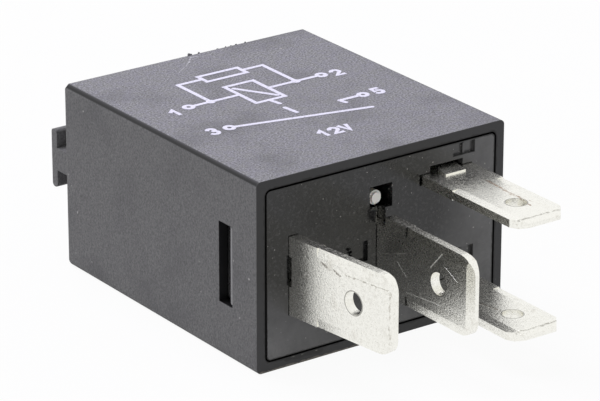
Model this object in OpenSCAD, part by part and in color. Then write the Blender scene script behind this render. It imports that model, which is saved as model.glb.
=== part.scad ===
// Plug-in micro relay: one make contact, with a resistor across the coil.
// It lies on its underside. X runs across the blades' row, -Y is the way the blades point, and +Z is
// the printed side. The origin is the middle of the case's underside. "Depth" below is the distance
// inwards from the case's open rim.

/* [Case] */
// Width of the case along the row of blades
body_w = 23; // [22.6:0.1:25]
// Length of the case from its open rim to its closed end
body_d = 26.4; // [25:0.1:30]
// Height of the case from its underside to its printed side
body_h = 15.3; // [14.9:0.1:17]
// Wall of the cover's four sides
cover_wall = 0.75; // [0.6:0.05:0.85]
// Wall of the cover's closed end
cover_back = 0.9; // [0.7:0.05:1.2]
// Radius along the cover's four long edges
long_edge_r = 0.4; // [0.2:0.05:0.7]
// Radius of the closed end's two upright edges
end_upright_r = 0.5; // [0.3:0.05:1]
// Radius of the closed end's top and bottom edges
end_level_r = 0.65; // [0.3:0.05:1]
// Depth of the cut that blunts the closed end's four corners
corner_cut = 0.44; // [0.3:0.02:0.6]
// Radius of the cavity's four long corners
cavity_r = 0.5; // [0.3:0.05:0.8]

/* [Latch window] */
// Length of each latch window along the case
window_l = 1.75; // [1.4:0.05:2.4]
// Height of each latch window
window_h = 6.5; // [4:0.1:8]
// Distance of each latch window from the rim
window_setback = 3.15; // [2.4:0.05:3.6]

/* [Bracket rail] */
// Width of the bracket rail across the closed end
bracket_w = 20.8; // [12:0.1:21]
// Height of the bracket rail's lip
bracket_h = 4.9; // [4:0.1:7]
// Length that the bracket rail stands out
bracket_out = 3.6; // [2.5:0.1:5]
// Thickness of the bracket rail's lip
bracket_lip = 0.75; // [0.7:0.05:1.2]
// Radius of the lip's edges
bracket_lip_r = 0.3; // [0.1:0.05:0.3]
// Thickness of the rib that carries the lip
bracket_rib = 1.9; // [1.2:0.1:2.4]

/* [Base] */
// Thickness of the base plate
plate_t = 3.4; // [3:0.1:4]
// Black gap between the base's face and the cover's rim
mouth_gap = 0.16; // [0.1:0.02:0.26]
// Depth of the recesses for the terminal numbers
number_recess = 0.3; // [0.1:0.05:0.6]
// Free gap between the base's flange and the cover
base_fit = 0.05; // [0.02:0.01:0.1]

/* [Blades] */
// Width of the two power blades, 3 and 5
power_blade_w = 6.3; // [5.8:0.1:6.6]
// Width of the two coil blades, 1 and 2
coil_blade_w = 4.8; // [4.2:0.1:5]
// Thickness of every blade
blade_t = 0.8; // [0.6:0.05:1]
// Free gap round a blade in the base
blade_fit = 0.05; // [0.02:0.01:0.08]
// Free length of coil blade 1
terminal_1_out = 11.8; // [9:0.1:14]
// Free length of coil blade 2
terminal_2_out = 11.7; // [9:0.1:14]
// Free length of power blade 3
terminal_3_out = 11.7; // [9:0.1:14]
// Free length of power blade 5
terminal_5_out = 11; // [9:0.1:14]
// Sideways lean of power blade 5, as handling leaves it
terminal_5_lean = 7; // [2:0.5:9]
// Place of power blade 5 across the case
terminal_5_x = -8.2; // [-8.6:0.1:-7.9]
// Place of power blade 3 across the case
terminal_3_x = -0.15; // [-0.4:0.05:0.4]
// Distance of the power blades below the row
power_drop = 0.3; // [0:0.05:0.5]
// Place of the two coil blades across the case
coil_row_x = 6; // [5.6:0.1:6.2]
// Distance between the two coil blades
coil_pitch = 9; // [8.9:0.1:9.4]
// Length of the rounded corners at a power blade's tip
power_corner_l = 1.6; // [0.5:0.1:2]
// Width of the rounded corners at a power blade's tip
power_corner_w = 1.3; // [0.4:0.05:1.5]
// Length of the straight cut corners at a coil blade's tip
coil_corner_l = 1.2; // [0.5:0.1:2]
// Width of the straight cut corners at a coil blade's tip
coil_corner_w = 0.95; // [0.4:0.05:1.2]
// Length of the coined bevel at a blade's tip
tip_bevel_l = 0.8; // [0.4:0.1:1.5]
// Thickness left at the very tip
tip_bevel_t = 0.35; // [0.2:0.05:0.5]
// Length of the coined bevels on a blade's long edges, from the tip
edge_bevel_l = 8; // [5:0.5:8.5]
// Width of those bevels
edge_bevel_w = 0.7; // [0.3:0.05:0.9]
// Depth of those bevels at the edge
edge_bevel_t = 0.09; // [0.05:0.01:0.15]
// Detent hole of a power blade
power_hole_d = 1.8; // [1.2:0.1:2.4]
// Detent hole of a coil blade
coil_hole_d = 1.6; // [1:0.1:2]
// Distance of a power blade's detent hole from its tip
power_hole_inset = 4.1; // [3:0.1:5]
// Distance of a coil blade's detent hole from its tip
coil_hole_inset = 3.4; // [3:0.1:5]

/* [Magnet] */
// Thickness of the yoke
yoke_t = 1.5; // [1.2:0.1:1.7]
// Width of the yoke
yoke_w = 7.8; // [6.6:0.1:7.8]
// Thickness of the armature
armature_t = 1.3; // [1:0.1:1.6]
// Width of the armature
armature_w = 8.6; // [8.2:0.1:9.4]
// Diameter of the core's shank
core_d = 4.2; // [3.4:0.1:4.8]
// Diameter of the core's riveted tail
core_tail_d = 3; // [2.4:0.1:3.2]
// Diameter of the core's pole head
pole_d = 7.4; // [6:0.1:7.8]
// Thickness of the core's pole head
pole_t = 1.1; // [0.8:0.1:1.5]
// Thickness of the bobbin's flanges and barrel
bobbin_t = 0.85; // [0.5:0.05:1]
// Diameter of the coil wire's two leads
coil_wire_d = 0.24; // [0.15:0.01:0.4]

/* [Contact] */
// Angle through which the armature closes
swing = 2.8; // [2:0.1:3.2]
// Gap left between the armature and the pole when closed
closed_gap = 0.03; // [0.02:0.01:0.08]
// Thickness of the contact spring
leaf_t = 0.2; // [0.1:0.02:0.3]
// Width of the contact spring on the armature
leaf_w = 6; // [4.8:0.1:6.2]
// Inner radius of the contact spring's bend
leaf_bend_r = 1; // [0.7:0.1:1.2]
// Diameter of the contact heads
contact_d = 3; // [2:0.1:3.2]
// Thickness of the contact heads
contact_t = 0.6; // [0.4:0.05:0.9]

/* [Resistor] */
// Diameter of the resistor's body
resistor_d = 1.9; // [1.6:0.1:2.1]
// Length of the resistor's body
resistor_l = 5.6; // [3.4:0.1:6.4]
// Diameter of the resistor's leads
resistor_lead_d = 0.55; // [0.3:0.05:0.7]

/* [Printed diagram] */
// Width of a printed line
line_w = 0.35; // [0.15:0.05:0.4]
// Thickness of the print
print_t = 0.03; // [0.02:0.01:0.05]

/* [Hidden] */
$fn = 64;
eps = 0.01;
play = 0.1;

// Inside of the cover, and the level of the blades' row
inner_half_w = body_w / 2 - cover_wall;
inner_h = body_h - 2 * cover_wall;
row_z = body_h / 2 - 0.05;
power_z = row_z - power_drop;
latch_z = body_h / 2 - 0.1;
bracket_z = body_h / 2 + 0.1;
terminal_1_z = row_z + coil_pitch / 2;
terminal_2_z = row_z - coil_pitch / 2;

// Widths of the stack, from the resistor at the right wall to the contact at the left
resistor_x = inner_half_w - 0.15 - resistor_d / 2;
yoke_out_x = resistor_x - resistor_d / 2 - 0.3 - leaf_t;
yoke_in_x = yoke_out_x - yoke_t;
contact_x = terminal_5_x + 2;
shelf_end_x = contact_x + contact_d / 2 + 0.2;
flange_right_x = yoke_in_x - play;
flange_left_x = shelf_end_x + 0.7;
coil_x = (flange_left_x + flange_right_x) / 2;
flange_w = flange_right_x - flange_left_x;
flange_h = inner_h - 2.2;
barrel_d = core_d + 2 * play + 2 * bobbin_t;
winding_d = min(flange_w, flange_h) - 0.8;
leaf_end_x = contact_x - contact_d / 2 - 0.3;

// Depths of the stack, from the rim to the closed end
shoulder_depth = plate_t - 1.6;
yoke_depth = plate_t + blade_t;
bobbin_depth = yoke_depth + yoke_t;
swing_rise = (yoke_out_x - leaf_end_x) * sin(swing);
rivet_head_t = 0.3;
back_room = 0.65;
armature_stack = closed_gap + armature_t + leaf_t;
pole_depth = body_d - cover_back - back_room - swing_rise - rivet_head_t - armature_stack;
top_flange_depth = pole_depth - pole_t - bobbin_t;
winding_depth = bobbin_depth + bobbin_t;
winding_l = top_flange_depth - winding_depth;
hinge_depth = pole_depth;
contact_face_depth = pole_depth + closed_gap + armature_t - contact_t;
shelf_depth = contact_face_depth - closed_gap - contact_t;

// Rivets
rivet_d = 1.2;
rivet_pitch = 4.2;
contact_shank_d = 1.6;
contact_tail_d = 2.3;
yoke_left_x = flange_left_x - 2.3;
yoke_rivet_x = (yoke_left_x + flange_left_x) / 2;
yoke_rivet_head_t = 0.4;
spring_rivet_depth = bobbin_depth + 8;
leaf_foot_depth = spring_rivet_depth - 2;
armature_rivet_x = coil_x + 2.2;

// Upright strip of terminal 5 inside the case, and the posts that hold it
strip_w = 5;
post_w = 2.4;
post_h = 1.2;
post_l = 7;

// Armature
armature_left_x = coil_x - pole_d / 2 - 0.25;
armature_end_x = yoke_out_x - 0.12;
lug_w = 0.75;
lug_rise = 0.9;
notch_w = yoke_w - 2 * lug_w - 0.3;

// Tags of the coil blades, beside the resistor
tag_w = 1.6;
tag_depth = plate_t + 4.4;
tag_wire_depth = winding_depth + 0.35;
tag_hole_depth = tag_depth - 1.1;
tag_hole_d = resistor_lead_d + 0.15;

// Lanced tongue over a coil blade's root, and its pocket in the base
tongue_w = 1.9;
tongue_l = 2.65;
tongue_rise = 0.12;
pocket_w = 3.1;
pocket_h = 0.5;
pocket_depth = 1.7;

// Inspection opening and the bobbin's peg in it
opening_w = 2.1;
opening_h = 1.9;
opening_rise = 3.1;
opening_x = terminal_3_x;
opening_z = row_z + opening_rise;
opening_top_z = opening_z + opening_h;
peg_d = 1.15;
peg_x = opening_x - opening_w / 2 + peg_d / 2 + 0.4;
peg_z = opening_z + 0.7;
peg_depth = 0.5;

// Recesses for the terminals' numbers
coil_number = [2.1, 1];
row_number = [2.6, 1.65];
side_number = [1.6, 1.6];

// Plane of a given depth behind the rim
function at(depth) = depth - body_d / 2;

// Places on the printed side: the symbol's rows, from the closed end to the blades
print_top_y = 7.4;
print_coil_y = 2.85;
print_contact_y = -2.65;
print_left_x = -6.6;
print_right_x = 5.95;

// A rectangle about the origin, with round corners
module round_rect(w, h, r) {
    square([w - 2 * r, h], center = true);
    square([w, h - 2 * r], center = true);
    for (x = [-1, 1], y = [-1, 1])
        translate([x * (w / 2 - r), y * (h / 2 - r)]) circle(r);
}

// Turns a flat outline drawn in X and Z into a plate from one depth to another
module along_depth(from, to) {
    translate([0, at(to), 0]) rotate([90, 0, 0]) linear_extrude(to - from) children();
}

// A round bar along the depth
module bar(x, z, d, from, to) {
    translate([x, at(to), z]) rotate([90, 0, 0]) cylinder(d = d, h = to - from);
}

// A profile drawn in X and depth, extruded across the height about the blades' row
module across_height(width) {
    translate([0, at(0), row_z - width / 2]) linear_extrude(width) children();
}

// A pair of places above and below the blades' row
module pair_in_height(pitch) {
    for (side = [-1, 1]) translate([0, 0, side * pitch / 2]) children();
}

// ---- Case ----

// The case's outer form: long edges, closed end's upright and level edges, and its four blunted corners
module case_form() {
    difference() {
        intersection() {
            translate([0, 0, body_h / 2]) along_depth(0, body_d) round_rect(body_w, body_h, long_edge_r);
            translate([0, 0, -1]) linear_extrude(body_h + 2) closed_end(body_w, body_d, end_upright_r);
            translate([-body_w / 2 - 1, 0, body_h / 2]) rotate([90, 0, 90])
                linear_extrude(body_w + 2) rotate(-90) closed_end(body_h, body_d, end_level_r);
        }
        for (x = [-1, 1], z = [-1, 1])
            translate([x * body_w / 2, body_d / 2, (1 + z) * body_h / 2])
                rotate([0, -z * atan(1 / sqrt(2)), 90 - 45 * x]) translate([1 - corner_cut, 0, 0])
                    cube(2, center = true);
    }
}

// A rectangle with two round corners at the +Y end
module closed_end(w, l, r) {
    translate([-w / 2, -l / 2]) square([w, l - r]);
    translate([-w / 2 + r, l / 2 - r - eps]) square([w - 2 * r, r + eps]);
    for (x = [-1, 1]) translate([x * (w / 2 - r), l / 2 - r]) circle(r);
}

module latch_window() {
    translate([0, at(window_setback + window_l / 2), latch_z])
        cube([body_w + 2, window_l, window_h], center = true);
}

// Rail that a metal bracket slides on: a lip stands off the closed end on a middle rib
module bracket_rail() {
    rib_l = cover_back / 2 + bracket_out - bracket_lip / 2;
    translate([-bracket_w / 2, 0, bracket_z]) rotate([90, 0, 90]) linear_extrude(bracket_w) {
        translate([body_d / 2 - cover_back / 2, -bracket_rib / 2]) square([rib_l, bracket_rib]);
        translate([body_d / 2 + bracket_out - bracket_lip / 2, 0])
            round_rect(bracket_lip, bracket_h, bracket_lip_r);
    }
}

module cover() {
    color("#47474a") {
        difference() {
            union() {
                case_form();
                bracket_rail();
            }
            translate([0, 0, body_h / 2]) along_depth(-1, body_d - cover_back)
                round_rect(body_w - 2 * cover_wall, inner_h, cavity_r);
            latch_window();
        }
    }
}

// ---- Base ----

// Snap nose on the base's side arm: flat face towards the rim, ramp towards the inside
module latch_nose() {
    arm_t = 1;
    arm_l = 2;
    reach = cover_wall - 0.1;
    land = 0.3;
    height = window_h - 0.3;
    root_x = inner_half_w - base_fit;
    catch_depth = window_setback + 0.08;
    from = min(plate_t, catch_depth) - 0.2;
    translate([0, at(0), latch_z - height / 2]) linear_extrude(height) polygon([
        [root_x - arm_t, from], [root_x, from], [root_x, catch_depth], [root_x + reach, catch_depth],
        [root_x + reach, catch_depth + land], [root_x, catch_depth + window_l - 0.3],
        [root_x - 0.2, plate_t + arm_l], [root_x - arm_t, plate_t + arm_l]
    ]);
}

// Slot for a blade that stands on edge, with a pocket behind for its shoulders
module upright_slot(x, shoulder_w) {
    translate([x, 0, power_z]) {
        along_depth(-1, plate_t + 1)
            square([blade_t + 2 * blade_fit, power_blade_w + 2 * blade_fit], center = true);
        along_depth(shoulder_depth, plate_t + 1)
            square([blade_t + 2 * blade_fit, shoulder_w + 2 * blade_fit], center = true);
    }
}

// Slot for a blade that lies flat, with a pocket behind that takes the step to its tag
module flat_slot(z) {
    left = coil_row_x - coil_blade_w / 2 - 3 * blade_fit;
    right = resistor_x + tag_w / 2 + blade_fit;
    half_t = blade_t / 2 + blade_fit;
    along_depth(-1, plate_t + 1) polygon([
        [left, z - half_t], [coil_row_x + coil_blade_w / 2 + blade_fit, z - half_t],
        [coil_row_x + coil_blade_w / 2 + blade_fit, z + half_t], [left, z + half_t]
    ]);
    along_depth(shoulder_depth, plate_t + 1) polygon([
        [left, z - half_t], [right, z - half_t], [right, z + half_t], [left, z + half_t]
    ]);
}

// Pocket over a flat blade's root, where its lanced tongue lies
module tongue_pocket(side, z) {
    translate([coil_row_x, 0, z + side * (blade_t / 2 + blade_fit + pocket_h / 2 - eps)])
        along_depth(-1, pocket_depth) square([pocket_w, pocket_h], center = true);
}

// Recess for a terminal's number
module number_place(x, z, size) {
    translate([x, 0, z]) along_depth(-1, number_recess) square(size, center = true);
}

// Two posts that hold the upright strip of terminal 5
module strip_posts() {
    for (side = [-1, 1])
        translate([terminal_5_x, 0, row_z + side * (strip_w / 2 + post_h / 2 + blade_fit)])
            along_depth(plate_t - eps, plate_t + post_l) square([post_w, post_h], center = true);
}

module base() {
    face_w = body_w - 2 * cover_wall - 2 * mouth_gap;
    face_h = inner_h - 2 * mouth_gap;
    flange_from = 1.2;
    color("#3a3a3c") {
        difference() {
            union() {
                translate([0, 0, body_h / 2]) along_depth(0, flange_from + eps)
                    round_rect(face_w, face_h, cavity_r - mouth_gap);
                translate([0, 0, body_h / 2]) along_depth(flange_from, plate_t)
                    round_rect(2 * (inner_half_w - base_fit), inner_h - 2 * base_fit, cavity_r - base_fit);
                strip_posts();
            }
            upright_slot(terminal_5_x, power_blade_w + 1);
            upright_slot(terminal_3_x, power_blade_w);
            flat_slot(terminal_1_z);
            flat_slot(terminal_2_z);
            tongue_pocket(1, terminal_1_z);
            tongue_pocket(-1, terminal_2_z);
            number_place(coil_row_x + 1.65, terminal_1_z + blade_t / 2 + 1.3, coil_number);
            number_place(coil_row_x + 1.65, terminal_2_z + blade_t / 2 + 1.75, coil_number);
            number_place(terminal_3_x - 2.5, row_z, row_number);
            number_place(terminal_5_x + 1.9, row_z - 3.6, side_number);
            // Inspection opening
            translate([opening_x, 0, (opening_z + opening_top_z) / 2]) along_depth(-1, plate_t + 1)
                square([opening_w, opening_top_z - opening_z], center = true);
            translate([opening_x, 0, opening_z - power_drop / 2 - 0.4]) along_depth(-1, plate_t + 1)
                square([blade_t, 1 + power_drop], center = true);
            // Relief for the bend of terminal 3, and room for the rivet heads under its foot
            along_depth(plate_t - 0.6, plate_t + 1) translate([terminal_3_x - blade_t / 2 - 0.3, power_z])
                square([0.7, power_blade_w + 2 * blade_fit], center = true);
            pair_in_height(rivet_pitch)
                bar(yoke_rivet_x, row_z, 2.6, plate_t - yoke_rivet_head_t - 0.1, plate_t + 1);
        }
        latch_nose();
        mirror([1, 0, 0]) latch_nose();
    }
}

// ---- Blades and terminals ----

// Outline of a blade from its tip at -out to the depth root. A tip corner is [length, width] and is
// rounded in steps of an angle, where 90 degrees cuts it straight.
module blade_outline(w, out, root, corner, step) {
    right = [for (a = [0:step:90])
        [w / 2 - corner[1] * (1 - cos(a)), at(-out + corner[0] * (1 - sin(a)))]];
    left = [for (i = [len(right) - 1:-1:0]) [-right[i][0], right[i][1]]];
    polygon(concat([[w / 2, at(root)]], right, left, [[-w / 2, at(root)]]));
}

// Section across a blade where its long edges are coined
module coined_section(w) {
    half_t = blade_t / 2;
    edge_t = half_t - edge_bevel_t;
    polygon([
        [-w / 2, -edge_t], [-w / 2 + edge_bevel_w, -half_t],
        [w / 2 - edge_bevel_w, -half_t], [w / 2, -edge_t],
        [w / 2, edge_t], [w / 2 - edge_bevel_w, half_t],
        [-w / 2 + edge_bevel_w, half_t], [-w / 2, edge_t]
    ]);
}

// Blade with its tip towards -Y: blunt corners, coined bevels on both faces, and a detent hole.
// It is drawn lying flat about the origin, from its tip at -out to the depth root.
module blade(w, out, root, hole_d, hole_inset, corner, step) {
    bevel_end = at(-out + edge_bevel_l);
    difference() {
        intersection() {
            linear_extrude(blade_t, center = true) blade_outline(w, out, root, corner, step);
            rotate([90, 0, 90]) linear_extrude(w + 1, center = true) polygon([
                [at(-out), -tip_bevel_t / 2], [at(-out + tip_bevel_l), -blade_t / 2],
                [at(root), -blade_t / 2], [at(root), blade_t / 2],
                [at(-out + tip_bevel_l), blade_t / 2], [at(-out), tip_bevel_t / 2]
            ]);
            union() {
                translate([0, bevel_end, 0]) rotate([90, 0, 0])
                    linear_extrude(edge_bevel_l + 1) coined_section(w);
                translate([-w / 2, bevel_end - eps, -blade_t / 2])
                    cube([w, at(root) - bevel_end + 1, blade_t]);
            }
        }
        translate([0, at(-out + hole_inset), 0]) cylinder(d = hole_d, h = blade_t + 1, center = true);
    }
}

// Coil terminal about its own blade's centre: blade, step to the side inside the base, and tag with two holes
module coil_terminal(out, side) {
    tag_x = resistor_x - coil_row_x;
    difference() {
        union() {
            blade(coil_blade_w, out, plate_t, coil_hole_d, coil_hole_inset,
                [coil_corner_l, coil_corner_w], 90);
            translate([0, 0, -blade_t / 2]) linear_extrude(blade_t) {
                translate([0, at(shoulder_depth)]) square([tag_x + tag_w / 2, plate_t - shoulder_depth]);
                translate([tag_x - tag_w / 2, at(shoulder_depth)])
                    square([tag_w, tag_depth - shoulder_depth - tag_w / 2]);
                translate([tag_x, at(tag_depth - tag_w / 2)]) circle(tag_w / 2);
            }
            // Lanced tongue over the root
            translate([0, at(pocket_depth - 0.2 - tongue_l), side * blade_t / 2])
                rotate([90, 0, 90]) linear_extrude(tongue_w, center = true)
                    polygon([[0, -eps * side], [0, tongue_rise * side], [tongue_l, (pocket_h - 0.05) * side],
                        [tongue_l, -eps * side]]);
        }
        translate([tag_x, at(tag_hole_depth), 0]) cylinder(d = tag_hole_d, h = blade_t + 1, center = true);
    }
}

module terminal_1() {
    color("#c9c8c4") translate([coil_row_x, 0, terminal_1_z]) coil_terminal(terminal_1_out, 1);
}

module terminal_2() {
    color("#c9c8c4") translate([coil_row_x, 0, terminal_2_z]) coil_terminal(terminal_2_out, -1);
}

// Power blade on edge, in place. Its free part may lean to the side from the face of the base.
module upright_blade(x, out, root, lean = 0) {
    blade_root = lean == 0 ? root : blade_t / 8;
    corner = [power_corner_l, power_corner_w];
    translate([x, at(0), power_z]) {
        rotate([0, 0, lean]) translate([0, -at(0), 0]) rotate([0, 90, 0])
            blade(power_blade_w, out, blade_root, power_hole_d, power_hole_inset, corner, 15);
        translate([0, root / 2, 0]) cube([blade_t, root, power_blade_w], center = true);
    }
}

// Common terminal: the blade's inner end is bent to the left into a foot that is riveted under the yoke
module terminal_3() {
    bend = 0.3;
    inner_x = terminal_3_x - blade_t / 2;
    neck_l = 1.1;
    neck_cut = 0.85;
    color("#c4c3be") difference() {
        union() {
            upright_blade(terminal_3_x, terminal_3_out, plate_t - bend);
            translate([0, 0, -power_drop]) across_height(power_blade_w) difference() {
                union() {
                    translate([inner_x - bend, plate_t - bend]) intersection() {
                        circle(bend + blade_t);
                        square(bend + blade_t);
                    }
                    translate([yoke_left_x + 0.2, plate_t])
                        square([inner_x - bend - yoke_left_x - 0.2, blade_t]);
                }
                translate([inner_x - bend, plate_t - bend]) circle(bend);
            }
        }
        // Neck at the root, above and below
        pair_in_height(power_blade_w) translate([terminal_3_x, at(-neck_l / 2 + 0.5), power_z])
            cube([blade_t + 1, neck_l + 1, 2 * neck_cut], center = true);
        pair_in_height(rivet_pitch) bar(yoke_rivet_x, row_z, rivet_d, plate_t - 1, yoke_depth + 1);
    }
}

// Switched terminal: blade, shoulders in the base, upright strip, and a shelf for the fixed contact
module terminal_5() {
    bend = 0.4;
    inner_x = terminal_5_x + blade_t / 2;
    outer_x = terminal_5_x - blade_t / 2;
    root_window_l = 1.6;
    color("#c4c3be") difference() {
        union() {
            upright_blade(terminal_5_x, terminal_5_out, plate_t, terminal_5_lean);
            translate([terminal_5_x, 0, power_z]) along_depth(shoulder_depth, plate_t)
                square([blade_t, power_blade_w + 1], center = true);
            across_height(strip_w) difference() {
                union() {
                    translate([outer_x, plate_t - eps])
                        square([blade_t, shelf_depth - blade_t - bend - plate_t + 2 * eps]);
                    translate([inner_x + bend, shelf_depth - blade_t - bend]) intersection() {
                        circle(bend + blade_t);
                        translate([-bend - blade_t, 0]) square(bend + blade_t);
                    }
                    translate([inner_x + bend, shelf_depth - blade_t])
                        square([shelf_end_x - inner_x - bend, blade_t]);
                }
                translate([inner_x + bend, shelf_depth - blade_t - bend]) circle(bend);
            }
        }
        translate([terminal_5_x, at(root_window_l / 2 - 0.3), row_z + 0.05])
            cube([blade_t + 1, root_window_l, 2.4], center = true);
        bar(contact_x, row_z, contact_shank_d, shelf_depth - blade_t - 1, shelf_depth + 1);
    }
}

// Contact rivet: a slightly domed head, a shank through its carrier, and an upset tail
module contact_rivet(carrier_t, tail_t) {
    dome_r = contact_d * 3;
    color("#d9d9d6") {
        intersection() {
            cylinder(d = contact_d, h = contact_t);
            translate([0, 0, contact_t - dome_r]) sphere(dome_r, $fn = 128);
        }
        translate([0, 0, -carrier_t]) cylinder(d = contact_shank_d, h = carrier_t);
        translate([0, 0, -carrier_t - tail_t]) cylinder(d = contact_tail_d, h = tail_t);
    }
}

module fixed_contact() {
    translate([contact_x, at(shelf_depth), row_z]) rotate([-90, 0, 0]) contact_rivet(blade_t, rivet_head_t);
}

module yoke_rivets() {
    color("#b9b5a6") pair_in_height(rivet_pitch) {
        bar(yoke_rivet_x, row_z, rivet_d, plate_t, bobbin_depth);
        bar(yoke_rivet_x, row_z, 1.8, bobbin_depth, bobbin_depth + yoke_rivet_head_t);
        bar(yoke_rivet_x, row_z, 2.1, plate_t - yoke_rivet_head_t, plate_t);
    }
}

// ---- Magnet ----

// Bent iron L: a leg under the bobbin and a leg up its right side, with two lugs that locate the armature
module yoke() {
    inner_r = play;
    color("#8f9296") difference() {
        union() {
            across_height(yoke_w) difference() {
                union() {
                    translate([yoke_left_x, yoke_depth]) square([yoke_in_x - inner_r - yoke_left_x, yoke_t]);
                    translate([yoke_in_x, bobbin_depth + inner_r])
                        square([yoke_t, hinge_depth - bobbin_depth - inner_r]);
                    translate([yoke_in_x - inner_r, bobbin_depth + inner_r]) intersection() {
                        circle(inner_r + yoke_t);
                        translate([0, -inner_r - yoke_t]) square(inner_r + yoke_t);
                    }
                }
                translate([yoke_in_x - inner_r, bobbin_depth + inner_r]) circle(inner_r);
            }
            pair_in_height(yoke_w - lug_w) translate([(yoke_in_x + yoke_out_x) / 2, 0, row_z])
                along_depth(hinge_depth - eps, hinge_depth + lug_rise) square([yoke_t, lug_w], center = true);
        }
        bar(coil_x, row_z, core_tail_d, yoke_depth - 1, bobbin_depth + 1);
        translate([coil_x, at(yoke_depth), row_z]) rotate([-90, 0, 0])
            cylinder(d1 = core_tail_d + 0.8, d2 = core_tail_d, h = 0.4);
        pair_in_height(rivet_pitch) bar(yoke_rivet_x, row_z, rivet_d, yoke_depth - 1, bobbin_depth + 1);
        pair_in_height(rivet_pitch) translate([yoke_in_x - 1, at(spring_rivet_depth), row_z])
            rotate([0, 90, 0]) cylinder(d = rivet_d, h = yoke_t + 2);
        // Notch that the bobbin's peg passes
        notch_depth = row_z + yoke_w / 2 - peg_z + peg_d / 2 + 0.15;
        translate([peg_x, at(yoke_depth + yoke_t / 2), row_z + yoke_w / 2])
            cube([peg_d + 0.3, yoke_t + 1, 2 * notch_depth], center = true);
    }
}

module core() {
    color("#9a9ca0") translate([coil_x, at(0), row_z]) rotate([-90, 0, 0]) rotate_extrude() polygon([
        [0, yoke_depth], [core_tail_d / 2 + 0.4, yoke_depth], [core_tail_d / 2, yoke_depth + 0.4],
        [core_tail_d / 2, bobbin_depth], [core_d / 2, bobbin_depth], [core_d / 2, pole_depth - pole_t],
        [pole_d / 2, pole_depth - pole_t], [pole_d / 2, pole_depth - 0.15], [pole_d / 2 - 0.15, pole_depth],
        [0, pole_depth]
    ]);
}

// Bobbin: barrel, two flanges, locating peg, and a bridge that stops the leaf when the contact is open
module bobbin() {
    stop_x = (flange_left_x + armature_left_x - 0.15) / 2;
    stop_t = armature_left_x - 0.3 - flange_left_x;
    leaf_top = hinge_depth + armature_stack + (yoke_out_x - stop_x) * tan(swing);
    stop_depth = leaf_top + 0.06;
    stop_beam_t = 0.7;
    post_t = 0.9;
    post_z = armature_w / 2 + 0.15 + post_t / 2;
    color("#e9e6da") difference() {
        union() {
            for (depth = [bobbin_depth, top_flange_depth])
                translate([coil_x, 0, row_z]) along_depth(depth, depth + bobbin_t)
                    round_rect(flange_w, flange_h, 0.8);
            bar(coil_x, row_z, barrel_d, bobbin_depth, top_flange_depth + bobbin_t);
            bar(peg_x, peg_z, peg_d, peg_depth + 0.2, bobbin_depth + eps);
            bar(peg_x, peg_z, peg_d - 0.3, peg_depth, peg_depth + 0.2 + eps);
            pair_in_height(2 * post_z) translate([stop_x, 0, row_z])
                along_depth(top_flange_depth + bobbin_t - eps, stop_depth + eps)
                    square([stop_t, post_t], center = true);
            translate([stop_x, 0, row_z]) along_depth(stop_depth, stop_depth + stop_beam_t)
                square([stop_t, 2 * post_z + post_t], center = true);
        }
        bar(coil_x, row_z, core_d + 2 * play, bobbin_depth - 1, top_flange_depth + bobbin_t + 1);
    }
}

module winding() {
    color("#b5672e") translate([coil_x, at(winding_depth), row_z]) rotate([-90, 0, 0]) difference() {
        cylinder(d = winding_d, h = winding_l);
        translate([0, 0, -1]) cylinder(d = barrel_d, h = winding_l + 2);
    }
}

// One end of the coil wire: from the winding's crown across to the outer face of its tag
module coil_lead(side) {
    r = coil_wire_d / 2;
    start = [coil_x, side * (winding_d / 2 + r)];
    end = [resistor_x - 0.35, side * (coil_pitch / 2 + blade_t / 2 + r)];
    run = end - start;
    color("#c07a3a") translate([start[0], at(tag_wire_depth), row_z + start[1]])
        rotate([0, 90 - atan2(run[1], run[0]), 0]) cylinder(r = r, h = norm(run), $fn = 16);
}

module coil_lead_1() {
    coil_lead(1);
}

module coil_lead_2() {
    coil_lead(-1);
}

// ---- Resistor ----

module resistor() {
    cap_l = resistor_l / 5;
    waist = 0.12;
    color("#7fa7c4") translate([resistor_x, at(tag_hole_depth), row_z]) rotate_extrude() polygon([
        [0, -resistor_l / 2], [resistor_d / 2 - 0.25, -resistor_l / 2],
        [resistor_d / 2, -resistor_l / 2 + 0.25], [resistor_d / 2, -resistor_l / 2 + cap_l],
        [resistor_d / 2 - waist, -resistor_l / 2 + cap_l + 0.2],
        [resistor_d / 2 - waist, resistor_l / 2 - cap_l - 0.2],
        [resistor_d / 2, resistor_l / 2 - cap_l], [resistor_d / 2, resistor_l / 2 - 0.25],
        [resistor_d / 2 - 0.25, resistor_l / 2], [0, resistor_l / 2]
    ]);
}

module resistor_leads() {
    reach = coil_pitch / 2 + blade_t / 2 + 0.6;
    color("#d0cfca") translate([resistor_x, at(tag_hole_depth), row_z]) {
        translate([0, 0, resistor_l / 2]) cylinder(d = resistor_lead_d, h = reach - resistor_l / 2);
        translate([0, 0, -reach]) cylinder(d = resistor_lead_d, h = reach - resistor_l / 2);
    }
}

// ---- Armature and contact spring ----

// Turns what is drawn in the closed position to the open one, about the yoke's outer edge
module open_position() {
    translate([yoke_out_x, at(hinge_depth), 0]) rotate([0, 0, -swing])
        translate([-yoke_out_x, -at(hinge_depth), 0]) children();
}

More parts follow.
